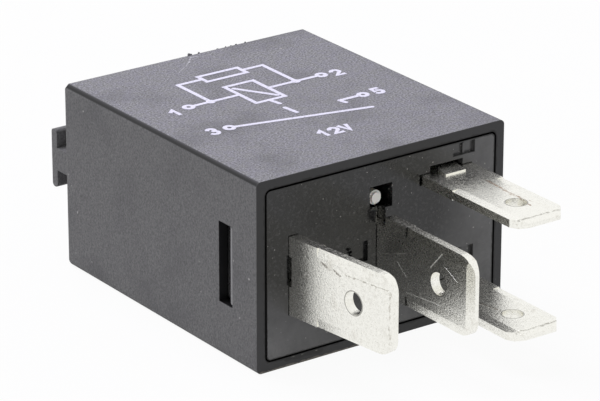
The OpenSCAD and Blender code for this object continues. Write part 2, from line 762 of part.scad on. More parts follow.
module armature() {
    lower = hinge_depth + closed_gap;
    end_r = min(leaf_bend_r, armature_t) - 0.05;
    color("#95989c") open_position() difference() {
        intersection() {
            across_height(armature_w) {
                translate([armature_left_x, lower])
                    square([armature_end_x - end_r - armature_left_x, armature_t]);
                translate([armature_end_x - end_r, lower]) square([end_r, armature_t - end_r]);
                translate([armature_end_x - end_r, lower + armature_t - end_r]) intersection() {
                    circle(end_r);
                    square(end_r);
                }
            }
            translate([0, 0, row_z]) along_depth(lower - 1, lower + armature_t + 1) union() {
                translate([armature_left_x, -armature_w / 2])
                    square([yoke_in_x - 0.3 - armature_left_x, armature_w]);
                translate([armature_left_x, -notch_w / 2])
                    square([yoke_out_x + 1 - armature_left_x, notch_w]);
            }
        }
        pair_in_height(rivet_pitch)
            bar(armature_rivet_x, row_z, rivet_d, lower - 1, lower + armature_t + 1);
    }
}

// Bent leaf: a foot riveted to the yoke, a split bend round the armature's end, and a tongue to the contact
module contact_spring() {
    lift = armature_stack - leaf_t;
    bend_x = yoke_out_x - leaf_bend_r;
    bend_depth = hinge_depth + (lift - leaf_bend_r + leaf_bend_r * sin(swing)) / cos(swing);
    tongue_x = contact_x + contact_d / 2 + 0.8;
    tip_w = leaf_w - 1.2;
    color("#c8924a") difference() {
        intersection() {
            across_height(leaf_w) {
                translate([yoke_out_x, leaf_foot_depth]) square([leaf_t, bend_depth - leaf_foot_depth]);
                translate([bend_x, bend_depth]) difference() {
                    intersection() {
                        circle(leaf_bend_r + leaf_t);
                        polygon([[0, 0], [3, 0], [3, 3], 4 * [sin(swing), cos(swing)]]);
                    }
                    circle(leaf_bend_r);
                }
                translate([bend_x, bend_depth]) rotate(-swing) translate([leaf_end_x - bend_x, leaf_bend_r])
                    square([bend_x - leaf_end_x, leaf_t]);
            }
            // Plan of the leaf: full width on the armature and yoke, narrower at the contact
            translate([0, 0, row_z]) along_depth(leaf_foot_depth - 1, body_d) union() {
                translate([tongue_x, -leaf_w / 2]) square([inner_half_w - tongue_x, leaf_w]);
                translate([leaf_end_x - 1, -tip_w / 2]) square([tongue_x - leaf_end_x + 2, tip_w]);
            }
        }
        // The split bend
        translate([yoke_out_x, at(hinge_depth), row_z])
            cube([2 * (yoke_out_x - coil_x - pole_d / 2), 8, leaf_w / 3], center = true);
        pair_in_height(rivet_pitch) translate([yoke_out_x - 1, at(spring_rivet_depth), row_z])
            rotate([0, 90, 0]) cylinder(d = rivet_d, h = 2 + leaf_t);
        open_position() {
            pair_in_height(rivet_pitch) bar(armature_rivet_x, row_z, rivet_d, hinge_depth, body_d);
            bar(contact_x, row_z, contact_shank_d, hinge_depth, body_d);
        }
    }
}

module spring_rivets() {
    color("#b9b5a6") pair_in_height(rivet_pitch)
        translate([0, at(spring_rivet_depth), row_z]) rotate([0, 90, 0]) {
            translate([0, 0, yoke_in_x]) cylinder(d = rivet_d, h = yoke_t + leaf_t);
            translate([0, 0, yoke_out_x + leaf_t]) cylinder(d = 2, h = rivet_head_t);
        }
}

module armature_rivets() {
    lower = hinge_depth + closed_gap;
    top = hinge_depth + armature_stack;
    color("#b9b5a6") open_position() pair_in_height(rivet_pitch) {
        bar(armature_rivet_x, row_z, rivet_d, lower, top);
        bar(armature_rivet_x, row_z, 1.5, top, top + rivet_head_t);
    }
}

module moving_contact() {
    open_position() translate([contact_x, at(contact_face_depth + contact_t), row_z]) rotate([90, 0, 0])
        contact_rivet(leaf_t, rivet_head_t);
}

// ---- Printed diagram ----

// A line with round ends
module stroke(from, to) {
    run = to - from;
    translate(from) rotate(atan2(run[1], run[0])) translate([0, -line_w / 2]) square([norm(run), line_w]);
    for (end = [from, to]) translate(end) circle(d = line_w);
}

// A line through several points
module route(points) {
    for (i = [1:len(points) - 1]) stroke(points[i - 1], points[i]);
}

// An open box drawn with the printed line
module box_outline(x, y, w, h) {
    translate([x, y]) difference() {
        square([w + line_w, h + line_w], center = true);
        square([w - line_w, h - line_w], center = true);
    }
}

// An open circle: the sign for a terminal
module terminal_ring(x, y) {
    ring_d = 1.05;
    translate([x, y]) difference() {
        circle(d = ring_d);
        circle(d = ring_d - 2 * line_w);
    }
}

// Wiring symbol: coil between terminals 1 and 2 with a resistor beside it, and a make contact between 3 and 5
module printed_diagram() {
    ring_r = 0.4;
    coil_sign = [2.7, 4.35];
    coil_sign_x = -0.5;
    branch_left_x = print_left_x + 2.05;
    branch_right_x = print_right_x - 2.45;
    resistor_sign = [3.75, 1.35];
    resistor_sign_x = -0.35;
    contact_tip = [print_right_x - 1.05, print_contact_y - 2.6];
    color("#e8e6f0") translate([0, 0, body_h]) linear_extrude(print_t) {
        for (x = [print_left_x, print_right_x], y = [print_coil_y, print_contact_y]) terminal_ring(x, y);
        // Coil row
        stroke([print_left_x + ring_r, print_coil_y], [coil_sign_x - coil_sign[0] / 2, print_coil_y]);
        stroke([coil_sign_x + coil_sign[0] / 2, print_coil_y], [print_right_x - ring_r, print_coil_y]);
        box_outline(coil_sign_x, print_coil_y - 0.1, coil_sign[0], coil_sign[1]);
        stroke([coil_sign_x - coil_sign[0] / 2 + 0.4, print_coil_y + 1.4],
            [coil_sign_x + coil_sign[0] / 2 - 0.35, print_coil_y - 1.75]);
        // Resistor branch
        route([[branch_left_x, print_coil_y], [branch_left_x, print_top_y],
            [resistor_sign_x - resistor_sign[0] / 2, print_top_y]]);
        route([[resistor_sign_x + resistor_sign[0] / 2, print_top_y], [branch_right_x, print_top_y],
            [branch_right_x, print_coil_y]]);
        box_outline(resistor_sign_x, print_top_y, resistor_sign[0], resistor_sign[1]);
        for (x = [branch_left_x, branch_right_x]) translate([x, print_coil_y]) circle(d = 0.75);
        // Contact row
        stroke([print_left_x + ring_r, print_contact_y - 0.05], contact_tip);
        route([[print_right_x - ring_r, print_contact_y], [print_right_x - 2.25, print_contact_y],
            [print_right_x - 2.1, print_contact_y - 0.65]]);
        // Dashed link from the coil to the contact
        stroke([coil_sign_x - 0.1, print_coil_y - 2.5], [coil_sign_x + 0.05, print_coil_y - 3.4]);
        stroke([coil_sign_x - 0.15, print_coil_y - 4.35], [coil_sign_x, print_coil_y - 5.7]);
    }
}

cover();
base();
terminal_1();
terminal_2();
terminal_3();
terminal_5();
fixed_contact();
yoke_rivets();
yoke();
core();
bobbin();
winding();
coil_lead_1();
coil_lead_2();
resistor();
resistor_leads();
spring_rivets();
armature();
contact_spring();
armature_rivets();
moving_contact();
printed_diagram();
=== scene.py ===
# %% [markdown]
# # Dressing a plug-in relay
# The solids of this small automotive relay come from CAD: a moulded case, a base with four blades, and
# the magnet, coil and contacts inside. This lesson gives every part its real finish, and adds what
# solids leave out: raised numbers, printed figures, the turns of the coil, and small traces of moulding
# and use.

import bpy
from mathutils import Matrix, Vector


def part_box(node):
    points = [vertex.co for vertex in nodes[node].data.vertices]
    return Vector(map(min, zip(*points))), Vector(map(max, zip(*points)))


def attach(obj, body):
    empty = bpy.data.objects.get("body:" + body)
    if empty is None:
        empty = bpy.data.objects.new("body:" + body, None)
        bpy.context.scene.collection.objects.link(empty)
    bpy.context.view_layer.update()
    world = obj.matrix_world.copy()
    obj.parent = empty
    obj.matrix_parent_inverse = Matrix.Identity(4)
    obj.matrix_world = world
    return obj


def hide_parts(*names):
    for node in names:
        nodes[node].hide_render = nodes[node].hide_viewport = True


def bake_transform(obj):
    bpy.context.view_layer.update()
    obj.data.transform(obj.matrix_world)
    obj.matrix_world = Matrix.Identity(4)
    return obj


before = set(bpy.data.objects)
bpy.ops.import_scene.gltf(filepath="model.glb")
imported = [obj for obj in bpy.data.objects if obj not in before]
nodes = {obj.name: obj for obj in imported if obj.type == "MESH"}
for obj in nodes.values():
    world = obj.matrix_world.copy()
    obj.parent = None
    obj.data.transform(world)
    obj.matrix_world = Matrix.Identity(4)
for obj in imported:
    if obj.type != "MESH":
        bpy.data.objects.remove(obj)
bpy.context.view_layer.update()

import math
import random

import bmesh
import bpy
from mathutils import Matrix, Vector

MM = 0.001

# %% [markdown]
# ## Camera
# The relay is seen from its left front corner, a little from above, with a long lens, so its edges
# stay almost parallel. The camera is placed by azimuth, elevation and distance from a target, which is
# how one finds a view in the world: walk round, step up, step back.

# %% Place the camera
azimuth, elevation, roll = math.radians(-35.65), math.radians(21.75), math.radians(0.08)
target, distance_mm = Vector((-7.6, -13.2, 13.06)) * MM, 268.2
back = Vector((math.sin(azimuth) * math.cos(elevation), -math.cos(azimuth) * math.cos(elevation),
               math.sin(elevation)))
camera_data = bpy.data.cameras.new("long_lens")
camera_data.sensor_width = 36
camera_data.lens = 219.24
camera_data.clip_start = 0.01
camera = bpy.data.objects.new("camera", camera_data)
bpy.context.scene.collection.objects.link(camera)
facing = back.to_track_quat("Z", "Y").to_matrix()
camera.matrix_world = Matrix.Translation(target + back * distance_mm * MM) @ (
    facing @ Matrix.Rotation(roll, 3, "Z")).to_4x4()
bpy.context.scene.camera = camera
bpy.context.scene.view_settings.view_transform = "Standard"
print("camera at", [round(v / MM, 1) for v in camera.matrix_world.translation], "mm")

# %% [markdown]
# ## Helpers for all node trees
# Materials and Geometry Nodes are both trees of nodes. A single function adds a node, sets its options
# and fills or links its inputs, so that a tree reads like a recipe. Three shorter ones make the nodes
# that come back most: sums on numbers, sums on vectors, and noise of a given size. Colours are written
# as sRGB hex codes, as in any paint program, and one function turns them to the linear values that the
# renderer works with.

# %% Tree helpers
def linear(code):
    """Linear colour of an sRGB hex code such as "4a4a4c"."""
    parts = [int(code[i:i + 2], 16) / 255 for i in (0, 2, 4)]
    return (*(c / 12.92 if c <= 0.04045 else ((c + 0.055) / 1.055) ** 2.4 for c in parts), 1)


def add(tree, kind, inputs=None, **options):
    """Add one node. Options are its own settings; inputs are values, or outputs of other nodes."""
    made = tree.nodes.new(kind)
    for name, value in options.items():
        setattr(made, name, value)
    for key, value in (inputs or {}).items():
        if isinstance(value, bpy.types.NodeSocket):
            tree.links.new(value, made.inputs[key])
        else:
            made.inputs[key].default_value = value
    return made


def maths(tree, operation, *values):
    """Result of a sum on numbers."""
    return add(tree, "ShaderNodeMath", dict(enumerate(values)), operation=operation).outputs[0]


def vectors(tree, operation, first, second=None, output="Vector"):
    """Result of a sum on vectors. SCALE takes a number as its second, and some sums give a "Value"."""
    inputs = {0: first}
    if second is not None:
        inputs["Scale" if operation == "SCALE" else 1] = second
    return add(tree, "ShaderNodeVectorMath", inputs, operation=operation).outputs[output]


def per(size_mm):
    """Texture scale that gives features of this size on coordinates in metres."""
    return 1000 / size_mm


def noise(tree, place, size_mm, detail, roughness=0.5, output="Fac"):
    """Noise with features of this size: a number about 0.5, or a "Color" that drifts as much."""
    return add(tree, "ShaderNodeTexNoise", {"Vector": place, "Scale": per(size_mm), "Detail": detail,
                                            "Roughness": roughness}).outputs[output]


print("mid grey 808080 is", round(linear("808080")[0], 3), "in linear light")

# %% [markdown]
# ## A shared start for every finish
# Each finish is a Principled shader on object coordinates, so a pattern keeps its real size and stays
# put when a part moves. Values that are the same all over are set on the shader itself. What differs
# from place to place is a mask, 0 where the finish stays as it is and 1 where it changes: it mixes two
# colours, or raises a relief.

# %% Start a finish
def start_finish(name, roughness, metallic=0.0, **fixed):
    """A named material with its shader: returns it, its tree, the shader and the coordinates."""
    material = bpy.data.materials.new(name)
    material.use_nodes = True
    tree = material.node_tree
    tree.nodes.clear()
    shader = add(tree, "ShaderNodeBsdfPrincipled", {"Roughness": roughness, "Metallic": metallic,
                                                    **fixed})
    add(tree, "ShaderNodeOutputMaterial", {"Surface": shader.outputs["BSDF"]})
    return material, tree, shader, add(tree, "ShaderNodeTexCoord").outputs["Object"]


def dress(piece, material):
    """Give a solid or a new piece one finish."""
    piece.data.materials.clear()
    piece.data.materials.append(material)


cover_low, cover_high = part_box("cover")
base_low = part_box("base")[0]
rim_y, end_y = cover_low.y, -cover_low.y
half_w, half_h = cover_high.x, cover_high.z / 2
print("case", [round(v / MM, 2) for v in (half_w * 2, end_y - rim_y, half_h * 2)], "mm")


# %% Ramps, mixed colours and relief
def step_up(tree, value, start, end, low=0.0, high=1.0):
    """Low until the value reaches start, high from end on, with a straight ramp between them."""
    return add(tree, "ShaderNodeMapRange", {"Value": value, "From Min": start, "From Max": end,
                                            "To Min": low, "To Max": high}).outputs[0]


def paint(tree, under, over, where):
    """Colour that changes from one to the other where a mask is 1. Either may be a hex code."""
    values = [linear(c) if isinstance(c, str) else c for c in (under, over)]
    return add(tree, "ShaderNodeMix", {0: where, 6: values[0], 7: values[1]},
               data_type="RGBA").outputs[2]


def emboss(tree, shader, height, strength, depth_mm):
    """Relief of this depth, after a height from 0 to 1."""
    bump = add(tree, "ShaderNodeBump", {"Height": height, "Strength": strength,
                                        "Distance": depth_mm * MM})
    tree.links.new(bump.outputs["Normal"], shader.inputs["Normal"])


# %% [markdown]
# ## Black moulded plastic with a sparked texture
# The cover is black glass-filled PBT. Its mould was spark-eroded, which leaves shallow craters a few
# tenths of a millimetre across, so the flat faces scatter light and look dark grey, while the polished
# radii between them stay darker. A cell pattern makes the craters, and a mask by position keeps them
# off the radii and the rim.

# %% Mask for the flat outer faces
def flat_faces(tree, place):
    """1 on the case's flat textured faces, 0 on its radii, its rim, its bracket rail and its inside."""
    # How far inside the outline a point is off the face, and how close it is on it
    far, close = 0.03 * MM, 0.004 * MM
    # How far behind the rim the texture starts, and is full
    least, most = 0.01 * MM, 0.05 * MM
    axes = add(tree, "ShaderNodeSeparateXYZ", {0: place}).outputs
    from_middle = maths(tree, "SUBTRACT", axes["Z"], half_h)
    across = maths(tree, "ABSOLUTE", axes["X"])
    upwards = maths(tree, "ABSOLUTE", from_middle)
    on_side = step_up(tree, across, half_w - far, half_w - close)
    on_top = step_up(tree, upwards, half_h - far, half_h - close)
    on_shell = maths(tree, "MAXIMUM", on_side, on_top)
    off_rim = step_up(tree, axes["Y"], rim_y + least, rim_y + most)
    sides = maths(tree, "MULTIPLY", on_shell, off_rim)
    on_end = maths(tree, "COMPARE", axes["Y"], end_y, least)
    return maths(tree, "MAXIMUM", sides, on_end)


print("flat sides at x =", round(half_w / MM, 2), "mm, closed end at y =", round(end_y / MM, 2), "mm")

# %% [markdown]
# ## Marks of moulding and use
# A scratch, a stain or a flake of residue is a short line with a width. Its mask is made from the
# distance to that line, and coordinates that wander a little give it a ragged edge.

# %% Marks along a line
def stray(tree, place, ragged):
    """Coordinates that wander by up to so many millimetres, for marks with a ragged edge."""
    wander = noise(tree, place, 0.5, 2.0, output="Color")
    centred = vectors(tree, "SUBTRACT", wander, (0.5, 0.5, 0.5))
    return vectors(tree, "ADD", place, vectors(tree, "SCALE", centred, ragged * MM))


def away(tree, place, start, end):
    """Distance in metres to the straight line between two points in millimetres."""
    first, run = Vector(start) * MM, (Vector(end) - Vector(start)) * MM
    arm = vectors(tree, "SUBTRACT", place, first)
    reach = vectors(tree, "DOT_PRODUCT", arm, run / run.length_squared, output="Value")
    share = add(tree, "ShaderNodeClamp", {"Value": reach}).outputs[0]
    return vectors(tree, "DISTANCE", arm, vectors(tree, "SCALE", run, share), output="Value")


def mark(tree, place, start, end, width):
    """1 on a narrow mark from start to end, all in millimetres, and 0 off it."""
    return step_up(tree, away(tree, place, start, end), width * 0.6 * MM, width * 0.3 * MM)


# %% [markdown]
# ## Joint round the base
# The plate of the base sits in the mouth of the case, with a narrow joint all round that no light
# comes out of. The joint follows a rectangle with rounded corners. The distance to such an outline is
# a sum on vectors: fold the plane onto one corner, take off the straight parts, measure what is left.

# %% Seam round the base
case_wall, joint_gap, plate_radius = 0.75 * MM, 0.16 * MM, 0.4 * MM


def seam(tree, place, inwards, outwards):
    """1 by the mouth, between two distances in millimetres from the outline of the base's plate."""
    reach, soft, radius = 1.5 * MM, 0.03, plate_radius
    inset = case_wall + joint_gap + radius
    straight = Vector((half_w - inset, reach, half_h - inset))
    mirrored = vectors(tree, "ABSOLUTE", vectors(tree, "SUBTRACT", place, (0, rim_y, half_h)))
    beyond = vectors(tree, "MAXIMUM", vectors(tree, "SUBTRACT", mirrored, straight), (0, 0, 0))
    distance = vectors(tree, "LENGTH", beyond, output="Value")
    after = step_up(tree, distance, radius + (inwards - soft) * MM, radius + (inwards + soft) * MM)
    before = step_up(tree, distance, radius + (outwards + soft) * MM, radius + (outwards - soft) * MM)
    return maths(tree, "MULTIPLY", after, before)


print("joint", round(joint_gap / MM, 2), "mm wide, corners", round(plate_radius / MM, 2), "mm")

# %% [markdown]
# ## The case
# Its flat sides are a grey with darker pits. Its top is painted lighter, each crater a light and a dark
# speck, as painted highlight and shade of the lamp. The radii are plain black, and the inside is
# painted darker still, as painted shade. Then come dust, a scuff by the closed end, residue along the
# lower lip, and the black line of the joint, in that order, each over the last.

# %% Case plastic
# Scuff by the closed end; a dark band, flakes of residue and a lighter line along the lower lip:
# start, end, width, colour
case_marks = [((-2.8, 9.8, 15.3), (-0.9, 11.3, 15.3), 0.09, "a2a2a6"),
              ((-0.9, 11.3, 15.3), (0.0, 12.3, 15.3), 0.12, "b0b0b4"),
              ((0.0, 12.3, 15.3), (0.5, 12.1, 15.3), 0.1, "a2a2a6"),
              ((-8.9, -13.2, 0.56), (-5.6, -13.2, 0.52), 0.34, "141414"),
              ((-8.5, -13.2, 0.7), (-8.1, -13.2, 0.66), 0.09, "7d7a74"),
              ((-7.4, -13.2, 0.66), (-7.2, -13.2, 0.7), 0.12, "8d8a84"),
              ((-6.1, -13.2, 0.68), (-5.8, -13.2, 0.7), 0.12, "a09c94"),
              ((-11.3, -13.2, 0.06), (-2.0, -13.2, 0.06), 0.16, "6f6b64")]


def case_plastic():
    """Dark grey and sandy on the flat faces, with painted highlight and shade on the top; black and
    smooth on the radii, and darker inside as painted shade.
    """
    material, tree, shader, place = start_finish("spark_textured_black_pbt", 0.55,
                                                 **{"Specular IOR Level": 0.35})
    axes = add(tree, "ShaderNodeSeparateXYZ", {0: place}).outputs
    on_rail = step_up(tree, axes["Y"], end_y + 0.1 * MM, end_y + 0.3 * MM)
    textured = maths(tree, "MAXIMUM", flat_faces(tree, place), on_rail)
    cells = add(tree, "ShaderNodeTexVoronoi", {"Vector": place, "Scale": per(0.24)})
    grit = noise(tree, place, 0.15, 2.0, 0.8)
    tint = noise(tree, place, 0.5, 3.0)
    cloud = noise(tree, place, 5, 3.0)
    grain = step_up(tree, grit, 0.3, 0.7)
    side = paint(tree, paint(tree, "3e3e3e", "7a7a79", grain), "5f5f5f", 0.4)
    # Painted light on the top face: lighter, more contrasting crater specks and a faint tint, as
    # painted highlight and shade of the lamp.
    hue = paint(tree, "64616f", "67675c", step_up(tree, tint, 0.4, 0.6))
    painted_light_top = paint(tree, paint(tree, "18181b", "a9a9ae", grain), hue, 0.22)
    on_top = step_up(tree, axes["Z"], 2 * half_h - 0.2 * MM, 2 * half_h - 0.1 * MM)
    matt = paint(tree, side, painted_light_top, on_top)
    broad = paint(tree, matt, "4a4a4c", step_up(tree, cloud, 0.5, 0.95))
    # Painted shade: inside the mouth the plastic is painted darker than on the radii.
    inside = step_up(tree, axes["Y"], rim_y + 0.02 * MM, rim_y + 0.2 * MM)
    colour = paint(tree, paint(tree, "2c2c2d", "161617", inside), broad, textured)
    colour = paint(tree, colour, "9a9896", step_up(tree, noise(tree, place, 0.4, 0.0), 0.86, 0.88))
    strayed = stray(tree, place, 0.3)
    for start, end, width, code in case_marks:
        colour = paint(tree, colour, code, mark(tree, strayed, start, end, width))
    colour = paint(tree, colour, "0c0c0d", seam(tree, strayed, -0.12, 0.25))
    tree.links.new(colour, shader.inputs["Base Color"])
    tree.links.new(step_up(tree, textured, 0, 1, 0.42, 0.6), shader.inputs["Roughness"])
    craters = maths(tree, "ADD", cells.outputs["Distance"], grit)
    emboss(tree, shader, craters, maths(tree, "MULTIPLY", textured, 0.8), 0.04)
    return material


finishes = {"cover_plastic": case_plastic()}
dress(nodes["cover"], finishes["cover_plastic"])
print("finish of the cover:", finishes["cover_plastic"].name, "with", len(case_marks), "marks")

# %% [markdown]
# ## Smooth black plastic
# The base comes from a polished mould, so it is darker and glossier than the cover. Handling leaves it
# cloudy and dusty. A wide dark mark over its upper left is painted shade, where little light comes in.
# The joint and all that lies behind it are painted black, because a real gap lets no light back out.
# Only the tips of the latch noses are rubbed grey, where they snap past the case.

# %% Base plastic
# Painted shade over the upper left, the side that lies in shade: start, end, width
painted_shade_patch = ((-7.0, -13.1, 11.5), (0.0, -13.1, 10.0), 17.0)


def base_plastic():
    """Cloudy black with dust and painted shade over its upper left, darker in the joint and behind it.
    """
    material, tree, shader, place = start_finish("satin_black_pbt", 0.3)
    cloud = noise(tree, place, 3.5, 4.0, 0.6)
    fine = noise(tree, place, 0.25, 2.0)
    handled = paint(tree, "4a4a4a", "646464", step_up(tree, cloud, 0.35, 0.65))
    # Painted shade: a wide dark mark over the upper left, where little light comes in.
    plain = paint(tree, handled, "121213", mark(tree, place, *painted_shade_patch))
    grained = paint(tree, plain, "4c4c4c", step_up(tree, fine, 0.5, 1.1))
    dusty = paint(tree, grained, "8a8884", step_up(tree, noise(tree, place, 0.2, 0.0), 0.8, 0.83))
    axes = add(tree, "ShaderNodeSeparateXYZ", {0: place}).outputs
    deep = step_up(tree, axes["Y"], base_low.y + 0.36 * MM, base_low.y + 0.7 * MM)
    outwards = maths(tree, "ABSOLUTE", axes["X"])
    covered = step_up(tree, outwards, half_w - 1.2 * MM, half_w - 1.5 * MM)
    behind = maths(tree, "MULTIPLY", deep, covered)
    joint = seam(tree, stray(tree, place, 0.15), -0.08, 0.4)
    colour = paint(tree, dusty, "0e0e0f", maths(tree, "MAXIMUM", behind, joint))
    nose_tips = step_up(tree, outwards, half_w - 0.5 * MM, half_w - 0.4 * MM)
    tree.links.new(paint(tree, colour, "828282", nose_tips), shader.inputs["Base Color"])
    tree.links.new(step_up(tree, cloud, 0, 1, 0.16, 0.3), shader.inputs["Roughness"])
    emboss(tree, shader, noise(tree, place, 0.5, 2.0), 0.12, 0.02)
    return material


finishes["base_plastic"] = base_plastic()
dress(nodes["base"], finishes["base_plastic"])
print("finish of the base:", finishes["base_plastic"].name)

# %% [markdown]
# ## Tin-plated brass
# The blades are stamped from brass strip and tin-plated. Tin is bright but soft and a little grainy,
# so the grain drives the roughness, the relief and a slight change of tone all at once. Plugging
# scratches it, which scatters light, and brown stains gather where it wears thin. Shade is painted in
# a dark ring round each punched hole and on the small steps where the coined edges end. A stain is
# cut up by the grain, as only the high spots wear.

# %% Places of wear on the blades
# Stains where the plating wore off: start, end, width, colour
blade_stains = [((6.98, -16.9, 12.5), (6.85, -19.3, 12.5), 0.14, "b39c88"),
                ((6.75, -19.1, 12.5), (6.89, -20.9, 12.5), 0.1, "a88f7a"),
                ((6.9, -20.7, 12.5), (6.45, -22.7, 12.5), 0.14, "9a8471"),
                ((6.6, -20.0, 12.5), (7.4, -23.6, 12.4), 0.1, "bfb1a0"),
                ((-8.17, -16.7, 9.42), (-8.11, -17.25, 9.26), 0.16, "a09b92"),
                ((-8.02, -17.9, 9.25), (-7.93, -18.7, 9.0), 0.12, "928d84"),
                ((-7.85, -19.3, 9.25), (-7.33, -23.6, 9.38), 0.07, "b4b0a5"),
                ((-7.28, -23.8, 9.2), (-7.28, -23.75, 5.2), 0.14, "c4c0b6"),
                ((-7.6, -21.1, 10.75), (-7.3, -23.8, 10.3), 0.1, "c0ab96"),
                ((-7.3, -23.8, 10.3), (-7.22, -24.4, 9.5), 0.14, "c9a891"),
                ((3.9, -24.4, 12.4), (8.1, -24.4, 12.4), 0.12, "b5b3ab"),
                ((3.9, -24.3, 3.4), (8.1, -24.3, 3.4), 0.12, "b5b3ab"),
                ((5.2, -17.6, 3.5), (5.6, -20.6, 3.5), 0.1, "a59c8e")]
# Holes with painted shade round their rims: two points on the axis, radius
holes = [((-7.86, -20.11, 7.3), (-6.86, -19.99, 7.3), 0.9),
         ((-1, -20.8, 7.3), (1, -20.8, 7.3), 0.9),
         ((6.0, -21.6, 11), (6.0, -21.6, 13), 0.8),
         ((6.0, -21.5, 2), (6.0, -21.5, 4), 0.8)]
# Painted shade on the small steps at the ends of the coined edges: start, end
painted_shade_coin_steps = [((-0.5, -16.9, 9.75), (-0.5, -16.9, 10.45)),
             ((-0.5, -16.9, 4.15), (-0.5, -16.9, 4.85))]
# Scratches from plugging: start, end, width
blade_scratches = [((-0.55, -19.9, 8.3), (-0.55, -21.25, 9.8), 0.08),
                   ((-0.55, -15.8, 7.4), (-0.55, -17.0, 6.5), 0.03),
                   ((-0.55, -14.2, 7.5), (-0.55, -16.9, 8.4), 0.03),
                   ((-0.55, -17.0, 5.3), (-0.55, -23.8, 5.9), 0.05),
                   ((-0.55, -21.6, 8.9), (-0.55, -23.1, 8.2), 0.03),
                   ((-0.55, -22.0, 5.2), (-0.55, -24.4, 6.6), 0.04),
                   ((4.6, -17.0, 3.5), (5.6, -20.5, 3.5), 0.05),
                   ((-8.4, -14.6, 6.0), (-8.1, -16.6, 6.9), 0.05)]
print("stains:", len(blade_stains), "scratches:", len(blade_scratches), "holes:", len(holes))


# %% Blade plating
def painted_hole_rim_shade(tree, place, start, end, radius):
    """1 on a narrow ring just outside a hole's edge."""
    gap = away(tree, place, start, end)
    inner = step_up(tree, gap, (radius + 0.01) * MM, (radius + 0.02) * MM)
    outer = step_up(tree, gap, (radius + 0.11) * MM, (radius + 0.06) * MM)
    return maths(tree, "MULTIPLY", inner, outer)


def tin_plate():
    """Bright grainy tin with stains and scratches, and painted shade round the holes and on the coined
    steps.
    """
    material, tree, shader, place = start_finish("tin_plated_brass", 0.25, 1.0)
    grain = noise(tree, place, 0.17, 3.0, 0.8)
    cloud = noise(tree, place, 1.2, 5.0, 0.7)
    plain = paint(tree, "f7f6ef", "d6d3c9", step_up(tree, grain, 0.5, 0.9))
    colour = paint(tree, plain, "c9c4b8", step_up(tree, cloud, 0.55, 0.9))
    strayed = stray(tree, place, 0.3)
    for start, end, width, code in blade_stains:
        stain = mark(tree, strayed, start, end, width * 1.6)
        worn = maths(tree, "MULTIPLY", stain, step_up(tree, grain, 0.38, 0.55))
        colour = paint(tree, colour, code, worn)
    for hole in holes:
        # Painted shade: a dark grey ring just outside each hole's edge.
        colour = paint(tree, colour, "9c9a93", painted_hole_rim_shade(tree, place, *hole))
    # Painted shade on the small step faces where the coined edges end.
    for start, end in painted_shade_coin_steps:
        colour = paint(tree, colour, "50504d", mark(tree, place, start, end, 0.2))
    tree.links.new(colour, shader.inputs["Base Color"])
    scratch = mark(tree, place, *blade_scratches[0])
    for line in blade_scratches[1:]:
        scratch = maths(tree, "MAXIMUM", scratch, mark(tree, place, *line))
    matt = step_up(tree, grain, 0.32, 0.7, 0.1, 0.36)
    tree.links.new(maths(tree, "MULTIPLY_ADD", scratch, 0.25, matt), shader.inputs["Roughness"])
    emboss(tree, shader, maths(tree, "MULTIPLY_ADD", scratch, -1.0, grain), 1.0, 0.022)
    return material


finishes["tinned_blade"] = tin_plate()
blades = ("terminal_1", "terminal_2", "terminal_3", "terminal_5")
for name in blades:
    dress(nodes[name], finishes["tinned_blade"])
print("plated blades:", len(blades))

# %% [markdown]
# ## Metals of the magnet
# Yoke, core and armature are soft iron, zinc-plated against rust. Bright zinc is bluish and cloudy:
# slow patches of tone over the marks of the rolled sheet. Rivets are yellower, because they are upset
# after plating. Spring bronze, silver contacts and tinned wire are rolled or drawn too, so the same
# recipe does for them in other tones.

# %% Rolled and plated metals
def rolled_metal(name, light, dark, roughness):
    """Metal with slow patches of two tones, rougher in the second, over fine lines along Y."""
    material, tree, shader, place = start_finish(name, roughness, 1.0)
    share = step_up(tree, noise(tree, place, 1.2, 4.0, 0.6), 0.35, 0.65)
    tree.links.new(paint(tree, light, dark, share), shader.inputs["Base Color"])
    rough = step_up(tree, share, 0, 1, roughness - 0.08, roughness + 0.1)
    tree.links.new(rough, shader.inputs["Roughness"])
    drawn = add(tree, "ShaderNodeMapping", {"Vector": place, "Scale": (1, 0.08, 1)}).outputs[0]
    emboss(tree, shader, noise(tree, drawn, 0.08, 2.0), 0.3, 0.01)
    return material


# Finish, its material's name, light and dark tone, roughness, and the solids that get it
metals = [("zinc_plated_iron", "zinc_plated_iron", "c3c8cf", "9ba1aa", 0.34,
           ("yoke", "core", "armature")),
          ("rivet_steel", "upset_rivet_steel", "cfc9b6", "a8a18d", 0.3,
           ("yoke_rivets", "spring_rivets", "armature_rivets")),
          ("spring_bronze", "rolled_spring_bronze", "d9a765", "b98646", 0.28, ()),
          ("silver_contact", "silver_contact", "eceae6", "d2cfc9", 0.24,
           ("fixed_contact", "moving_contact")),
          ("tinned_lead", "tinned_wire", "dcdad4", "bdbab2", 0.26, ("resistor_leads",))]
for key, name, light, dark, roughness, solids in metals:
    finishes[key] = rolled_metal(name, light, dark, roughness)
    for solid in solids:
        dress(nodes[solid], finishes[key])
print("metal finishes:", len(metals))

# %% [markdown]
# ## White bobbin
# The bobbin is unfilled PBT, a warm white. Light goes a little way into it, so its edges look soft.

# %% Bobbin plastic
def bobbin_plastic():
    """Warm white that light enters a little."""
    material, tree, shader, place = start_finish(
        "natural_white_pbt", 0.42, **{"Subsurface Weight": 0.12, "Subsurface Scale": 0.4 * MM})
    cloud = noise(tree, place, 1.4, 3.0)
    tree.links.new(paint(tree, "f8f7f3", "eae7de", cloud), shader.inputs["Base Color"])
    emboss(tree, shader, noise(tree, place, 0.12, 2.0), 0.2, 0.01)
    return material


finishes["bobbin_plastic"] = bobbin_plastic()
dress(nodes["bobbin"], finishes["bobbin_plastic"])
print("finish of the bobbin:", finishes["bobbin_plastic"].name)

